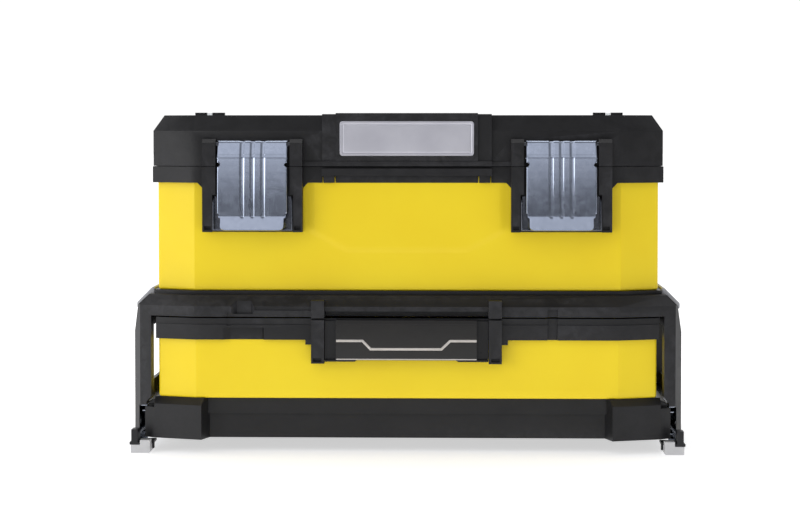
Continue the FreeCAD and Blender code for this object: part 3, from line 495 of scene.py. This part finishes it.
carry("carry_handle", BLACK, 1.2, 3)


# ------------------------------------------------------------------ stamped latch plates
def arc_pts(centre, radius, a0, a1, steps):
    return [(centre[0] + radius * math.cos(math.radians(a0 + (a1 - a0) * k / steps)),
             centre[1] + radius * math.sin(math.radians(a0 + (a1 - a0) * k / steps))) for k in range(steps + 1)]


def bend(a, b, c, radius, steps=4):
    """The rounded corner at b on the way from a to c."""
    a, b, c = Vector(a), Vector(b), Vector(c)
    u, v = (a - b).normalized(), (c - b).normalized()
    turn = math.pi - u.angle(v)
    cut = radius * math.tan(turn / 2)
    centre = b + (u + v).normalized() * (radius / math.cos(turn / 2))
    p0, p1 = b + u * cut, b + v * cut
    return [tuple(centre + (p0 - centre).lerp(p1 - centre, k / steps).normalized() * radius)
            for k in range(steps + 1)]


def fill_in(path, step):
    out = [path[0]]
    for a, b in zip(path, path[1:]):
        d = math.dist(a, b)
        k = max(1, int(math.ceil(d / step)))
        for j in range(1, k + 1):
            out.append((a[0] + (b[0] - a[0]) * j / k, a[1] + (b[1] - a[1]) * j / k))
    return out


RIBS = (-9.9, 0.2, 10.5)


def rib_height(x):
    h = 0.0
    for c in RIBS:
        d = abs(x - c)
        if d < 2.9:
            h = max(h, 1.0 - smoothstep(0.7, 2.7, d))
    return h


def latch_plate(name, node, body, centre_x):
    pin = (-120.5, 303.5)
    roll = arc_pts(pin, 3.5, -150, 159.3, 22)
    lean_top, knee, chin, tip = (-123.78, 304.74), (-129.3, 290.4), (-130.7, 232.8), (-136.4, 219.6)
    face = [(-130.75 + 1.45 * ((z - 236.0) / 54.4) ** 2, z) for z in (284.0, 277.0, 270.0, 262.0, 254.0, 246.0, 240.0)]
    path = roll[:-1] + [lean_top] + bend(lean_top, knee, face[0], 1.6) + face + bend(face[-1], chin, tip, 2.0) + [tip]
    path = fill_in(path, 1.6)
    n_roll = len(roll) - 1
    dist = [0.0]
    for a, b in zip(path, path[1:]):
        dist.append(dist[-1] + math.dist(a, b))
    total = dist[-1]
    cols = []
    x = -33.1
    while x < 33.1 - 1e-6:
        cols.append(x)
        near = min(abs(x - c) for c in RIBS)
        x += 0.65 if near < 4.2 else 2.2
    cols.append(33.1)
    cols = [c * 33.1 / max(cols) for c in cols]
    bm = bmesh.new()
    rows = []
    info = []
    for i, (y, z) in enumerate(path):
        a = path[max(0, i - 1)]
        b = path[min(len(path) - 1, i + 1)]
        t = Vector((b[0] - a[0], b[1] - a[1])).normalized()
        nrm = Vector((t.y, -t.x))          # outward: away from the box
        if nrm.dot(Vector((y - pin[0], z - pin[1]))) < 0 and i < n_roll:
            nrm = -nrm
        if i >= n_roll and nrm.x > 0:
            nrm = -nrm
        left = total - dist[i]
        on_roll = i < n_roll - 2
        tab = z < 232.2 and not on_roll
        half = 33.1
        if on_roll:
            half = 34.2
        if tab:
            half = 31.0 if left > 4.0 else 31.0 - 4.0 + math.sqrt(max(0.0, 16.0 - (4.0 - left) ** 2))
        nick = 282.0 <= z <= 284.2 and not on_roll
        amp = 0.55 + 0.35 * smoothstep(236.0, 288.0, z)
        if on_roll:
            amp = 0.9 * smoothstep(12, n_roll - 2, i)
        if z < 234.0 and not on_roll:
            amp *= smoothstep(231.2, 233.2, z)
        groove = 0.0 if on_roll else 0.35 * math.exp(-((z - 291.6) / 1.1) ** 2)
        row = []
        for c in cols:
            xx = c * half / 33.1 if (on_roll or tab) else c
            if nick and abs(xx) > 31.4:
                xx = math.copysign(31.4, xx)
            push = -amp * rib_height(xx) - groove
            if not on_roll and not tab:
                # the pressed face is very slightly crowned
                push += 0.10 * (1 - (xx / 33.1) ** 2)
            row.append(bm.verts.new(((centre_x + xx) * MM, (y + nrm.x * push) * MM, (z + nrm.y * push) * MM)))
        rows.append(row)
        info.append((on_roll, tab, nick, nrm, y, z))
    for r in range(len(rows) - 1):
        for i in range(len(cols) - 1):
            bm.faces.new((rows[r][i], rows[r][i + 1], rows[r + 1][i + 1], rows[r + 1][i]))
    # folded side flanges: a quarter round, then a flat strip towards the box
    for side in (-1, 1):
        col = 0 if side < 0 else len(cols) - 1
        strips = []
        for r, (on_roll, tab, nick, nrm, y, z) in enumerate(info):
            ok = (not on_roll) and (not tab) and (not nick) and z < 302.5 and z > 235.5
            if not ok:
                strips.append(None)
                continue
            deep = 3.6 if z < 283 else 3.4 + 1.2 * smoothstep(284, 296, z)
            base = rows[r][col]
            line = [base]
            for k in range(1, 5):
                a = math.pi / 2 * k / 4
                off = 1.2 * math.sin(a)
                back = 1.2 * (1 - math.cos(a))
                line.append(bm.verts.new(((centre_x + side * (33.1 + off)) * MM,
                                          (y - nrm.x * back) * MM, (z - nrm.y * back) * MM)))
            for k in (0.5, 1.0):
                back = 1.2 + (deep - 1.2) * k
                line.append(bm.verts.new(((centre_x + side * 34.3) * MM,
                                          (y - nrm.x * back) * MM, (z - nrm.y * back) * MM)))
            strips.append(line)
        for r in range(len(strips) - 1):
            p, q = strips[r], strips[r + 1]
            if p is None or q is None:
                continue
            for k in range(len(p) - 1):
                f = (p[k], p[k + 1], q[k + 1], q[k])
                bm.faces.new(f if side > 0 else tuple(reversed(f)))
    bmesh.ops.recalc_face_normals(bm, faces=bm.faces)
    ref = min(bm.faces, key=lambda f: (f.calc_center_median() - Vector((centre_x * MM, -0.1306, 0.26))).length)
    if ref.normal.y > 0:
        bmesh.ops.reverse_faces(bm, faces=bm.faces)
    o = new_object(name, bm, LATCH, body, True)
    s = o.modifiers.new("gauge", "SOLIDIFY")
    s.thickness = 1.0 * MM
    s.offset = -1.0
    s.use_even_offset = False
    b = o.modifiers.new("edges", "BEVEL")
    b.width = 0.22 * MM
    b.segments = 2
    b.limit_method = "ANGLE"
    b.angle_limit = math.radians(50)
    b.use_clamp_overlap = True
    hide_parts(node)
    return o


latch_plate("latch_stamping_left", "latch_plate_left", "latch_left", -151.0)
latch_plate("latch_stamping_right", "latch_plate_right", "latch_right", 151.0)


# ------------------------------------------------------------------ label and pull plate
def rounded_rect(x0, x1, z0, z1, r, steps=6):
    pts = []
    for cx, cz, a0 in ((x1 - r, z1 - r, 0), (x0 + r, z1 - r, 90), (x0 + r, z0 + r, 180), (x1 - r, z0 + r, 270)):
        for k in range(steps + 1):
            a = math.radians(a0 + 90 * k / steps)
            pts.append((cx + r * math.cos(a), cz + r * math.sin(a)))
    return pts


def stack(name, mat, body, rings, closed_back=True):
    """A plate standing in XZ, from matching rings of (points, y), nearest the box first."""
    bm = bmesh.new()
    loops = [[bm.verts.new((x * MM, y * MM, z * MM)) for x, z in pts] for pts, y in rings]
    n = len(loops[0])
    for a, b in zip(loops, loops[1:]):
        for i in range(n):
            j = (i + 1) % n
            bm.faces.new((a[i], a[j], b[j], b[i]))
    bm.faces.new(loops[0])
    bm.faces.new(list(reversed(loops[-1])))
    bmesh.ops.recalc_face_normals(bm, faces=bm.faces)
    o = new_object(name, bm, mat, body, True)
    o.data.set_sharp_from_angle(angle=math.radians(32))
    return o


def rr(inset, r=3.0):
    return rounded_rect(-65.8 + inset, 65.8 - inset, 292.1 + inset, 326.0 - inset, max(0.4, r - inset * 0.6))


lab = stack("label_badge", SILVER, "lid", [
    (rr(0.0), -119.2), (rr(0.0), -120.05), (rr(0.35), -120.4), (rr(1.9), -120.4), (rr(2.2), -120.15),
    (rr(2.8), -119.85), (rr(3.4), -119.85), (rr(3.8), -120.1), (rr(4.2), -120.12)])
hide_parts("label_plate")

side = [(-138.62, 93.4), (-139.3, 93.4), (-139.66, 93.8), (-139.66, 128.0), (-139.6, 128.4), (-139.42, 128.8),
        (-138.66, 131.6), (-138.62, 131.6)]
bm = bmesh.new()
xs = [-68.5 + 137.0 * k / 28 for k in range(29)]
rows = [[bm.verts.new((x * MM, y * MM, z * MM)) for y, z in side] for x in xs]
for a, b in zip(rows, rows[1:]):
    for i in range(len(side)):
        j = (i + 1) % len(side)
        bm.faces.new((a[i], a[j], b[j], b[i]))
bm.faces.new(rows[0])
bm.faces.new(list(reversed(rows[-1])))
bmesh.ops.recalc_face_normals(bm, faces=bm.faces)
plate = new_object("pull_front_plate", bm, GLOSS, "drawer", False)
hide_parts("pull_plate")


def ribbon(name, mat, body, line, width, y0, y1):
    """A raised line with a rounded face on the pull plate; line is a list of (x, z)."""
    bm = bmesh.new()
    prof = [(-0.5, 0.0), (-0.5, 0.7), (-0.42, 1.0), (0.42, 1.0), (0.5, 0.7), (0.5, 0.0)]
    rows = []
    for i, p in enumerate(line):
        a = Vector(line[max(0, i - 1)])
        b = Vector(line[min(len(line) - 1, i + 1)])
        d0 = (Vector(p) - a).normalized() if i else (b - Vector(p)).normalized()
        d1 = (b - Vector(p)).normalized() if i < len(line) - 1 else d0
        t = (d0 + d1).normalized()
        nrm = Vector((-t.y, t.x)) / max(0.5, math.cos(d0.angle(d1) / 2 if d0.angle(d1) > 1e-6 else 0))
        rows.append([bm.verts.new(((p[0] + nrm.x * u * width) * MM, (y0 + (y1 - y0) * h) * MM,
                                   (p[1] + nrm.y * u * width) * MM)) for u, h in prof])
    for r in range(len(rows) - 1):
        for i in range(len(prof) - 1):
            bm.faces.new((rows[r][i], rows[r][i + 1], rows[r + 1][i + 1], rows[r + 1][i]))
        bm.faces.new((rows[r][-1], rows[r][0], rows[r + 1][0], rows[r + 1][-1]))
    bm.faces.new(rows[0])
    bm.faces.new(list(reversed(rows[-1])))
    bmesh.ops.recalc_face_normals(bm, faces=bm.faces)
    o = new_object(name, bm, mat, body, True)
    o.data.set_sharp_from_angle(angle=math.radians(60))
    return o


# the pale lines along the ridge and along the lower edge of the pull plate are painted highlights
ribbon("pull_ridge_painted_highlight", SATIN_HIGHLIGHT, "drawer",
       [(-68.3, 112.3), (-42.6, 112.3), (-34.7, 104.2), (34.2, 104.2), (42.7, 112.3), (68.3, 112.3)],
       2.4, -139.4, -140.0)
ribbon("pull_lower_edge_painted_highlight", SATIN_HIGHLIGHT, "drawer", [(-68.3, 94.3), (68.3, 94.3)], 1.1, -139.4, -140.0)


# ------------------------------------------------------------------ ribbed rubber grip
def lathe_x(name, mat, body, prof, y, z, seg):
    bm = bmesh.new()
    rows = []
    for x, r in prof:
        rows.append([bm.verts.new((x * MM, (y + r * math.cos(2 * math.pi * k / seg)) * MM,
                                   (z + r * math.sin(2 * math.pi * k / seg)) * MM)) for k in range(seg)])
    for a, b in zip(rows, rows[1:]):
        for i in range(seg):
            j = (i + 1) % seg
            bm.faces.new((a[i], a[j], b[j], b[i]))
    a, b = rows[-1], rows[0]
    for i in range(seg):
        j = (i + 1) % seg
        bm.faces.new((a[i], a[j], b[j], b[i]))
    bmesh.ops.recalc_face_normals(bm, faces=bm.faces)
    o = new_object(name, bm, mat, body, True)
    o.data.set_sharp_from_angle(angle=math.radians(50))
    return o


prof = [(-58.0, 6.62), (-58.0, 8.6), (-57.2, 9.3)]
x = -56.0
while x <= 56.01:
    base = 9.5 + 0.75 * (0.5 - 0.5 * math.cos(2 * math.pi * (x + 58) / 29.0))
    groove = 0.0 if abs(x) > 53 else 0.42 * max(0.0, math.cos(2 * math.pi * x / 4.0)) ** 2
    prof.append((x, base - groove))
    x += 0.5
prof += [(57.2, 9.3), (58.0, 8.6), (58.0, 6.62)]
g = lathe_x("rubber_grip_sleeve", RUBBER, "handle", prof, -68.0, 314.0, 48)
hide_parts("handle_grip")

# ------------------------------------------------------------------ yellow sheet metal
sheet_tub("upper_box_sheet", "upper_body", "housing", 248.3, -110.0, 120.0, 38.2, 18.0, 158.9, 272.0,
          panel=True, wave=0.25)
sheet_tub("drawer_sheet", "drawer_body", "drawer", 245.4, -124.5, 114.0, 38.5, 12.8, 54.2, 128.8, wave=0.2)

# ------------------------------------------------------------------ stage, light, camera
bpy.ops.mesh.primitive_plane_add(size=30, location=(0, 13.4, 0))
floor = bpy.context.object
floor.name = "floor"
fm = Mat("studio_white")
fm.set(Base_Color=srgb(232, 232, 232), Roughness=0.9, Specular_IOR_Level=0.0)
fm.set(Emission_Color=(1.0, 1.0, 1.0, 1.0), Emission_Strength=0.58)
floor.data.materials.append(fm.m)

world = bpy.data.worlds.new("studio")
bpy.context.scene.world = world
world.use_nodes = True
wn, wl = world.node_tree.nodes, world.node_tree.links
bg = wn["Background"]
tc = wn.new("ShaderNodeTexCoord")
sep = wn.new("ShaderNodeSeparateXYZ")
wl.new(tc.outputs["Generated"], sep.inputs[0])
# backdrop: white behind the object
behind = wn.new("ShaderNodeMapRange")
behind.interpolation_type = "SMOOTHSTEP"
behind.inputs["From Min"].default_value = -0.30
behind.inputs["From Max"].default_value = 0.30
wl.new(sep.outputs["Y"], behind.inputs["Value"])
# room in front: dark near the horizon, one bright band overhead in front
lift = wn.new("ShaderNodeMapRange")
lift.inputs["From Min"].default_value = -1.0
lift.inputs["From Max"].default_value = 1.0
wl.new(sep.outputs["Z"], lift.inputs["Value"])
room = wn.new("ShaderNodeValToRGB")
el = room.color_ramp.elements
stops = [(-1.0, 0.13), (-0.12, 0.06), (-0.05, 0.03), (0.01, 0.09), (0.045, 0.52), (0.085, 1.25), (0.13, 1.25), (0.20, 0.50),
         (0.48, 0.72), (0.58, 1.02), (0.76, 1.02), (0.86, 0.20), (1.0, 0.20)]
while len(el) < len(stops):
    el.new(0.5)
for e, (zz, v) in zip(el, stops):
    e.position = (zz + 1.0) / 2.0
    e.color = (v, v, v * 1.02, 1.0)
wl.new(lift.outputs["Result"], room.inputs["Fac"])
# the right side of the room is flagged darker
flag = wn.new("ShaderNodeMapRange")
flag.interpolation_type = "SMOOTHSTEP"
flag.inputs["From Min"].default_value = -0.15
flag.inputs["From Max"].default_value = 0.60
flag.inputs["To Min"].default_value = 1.06
flag.inputs["To Max"].default_value = 0.40
wl.new(sep.outputs["X"], flag.inputs["Value"])
shaded = wn.new("ShaderNodeVectorMath")
shaded.operation = "SCALE"
wl.new(room.outputs["Color"], shaded.inputs[0])
wl.new(flag.outputs["Result"], shaded.inputs["Scale"])
both = wn.new("ShaderNodeMix")
both.data_type = "RGBA"
wl.new(behind.outputs["Result"], both.inputs["Factor"])
wl.new(shaded.outputs["Vector"], next(i for i in both.inputs if i.name == "A" and i.type == "RGBA"))
next(i for i in both.inputs if i.name == "B" and i.type == "RGBA").default_value = (1.03, 1.03, 1.03, 1.0)
# what the camera sees past the floor is plain white on every side
path = wn.new("ShaderNodeLightPath")
seen = wn.new("ShaderNodeMix")
seen.data_type = "RGBA"
wl.new(path.outputs["Is Camera Ray"], seen.inputs["Factor"])
wl.new(next(o for o in both.outputs if o.type == "RGBA"),
       next(i for i in seen.inputs if i.name == "A" and i.type == "RGBA"))
next(i for i in seen.inputs if i.name == "B" and i.type == "RGBA").default_value = (1.03, 1.03, 1.03, 1.0)
wl.new(next(o for o in seen.outputs if o.type == "RGBA"), bg.inputs[0])
bg.inputs[1].default_value = 1.0


def area(name, loc, target, size, power, size_y=None):
    d = bpy.data.lights.new(name, "AREA")
    d.shape = "RECTANGLE" if size_y else "SQUARE"
    d.size = size
    if size_y:
        d.size_y = size_y
    d.energy = power
    o = bpy.data.objects.new(name, d)
    o.location = loc
    o.rotation_mode = "QUATERNION"
    o.rotation_quaternion = (Vector(target) - Vector(loc)).to_track_quat("-Z", "Y")
    bpy.context.scene.collection.objects.link(o)
    return o


area("key_left", (-1.95, -1.55, 0.62), (0, 0, 0.17), 1.1, 11.5, 1.2)
area("top_back", (-0.1, 0.9, 1.9), (0, 0, 0.20), 1.6, 11, 0.9)
area("fill_right", (1.9, -1.5, 0.8), (0, 0, 0.16), 0.7, 0.4, 1.0)

cam_data = bpy.data.cameras.new("camera")
cam_data.sensor_width = 36.0
cam_data.lens = 94.15
cam_data.clip_end = 50
cam = bpy.data.objects.new("camera", cam_data)
bpy.context.scene.collection.objects.link(cam)
bpy.context.scene.camera = cam
CAM_POS = Vector((0.050, -2.168, 0.3152))
YAW = math.radians(1.583)
cam.location = CAM_POS
cam.rotation_mode = "QUATERNION"
PITCH = math.radians(-1.8)
look = Vector((-math.sin(YAW) * math.cos(PITCH), math.cos(YAW) * math.cos(PITCH), math.sin(PITCH)))
cam.rotation_quaternion = look.to_track_quat("-Z", "Y")
cam_data.shift_y = -0.0844

bpy.context.scene.view_settings.view_transform = "Standard"
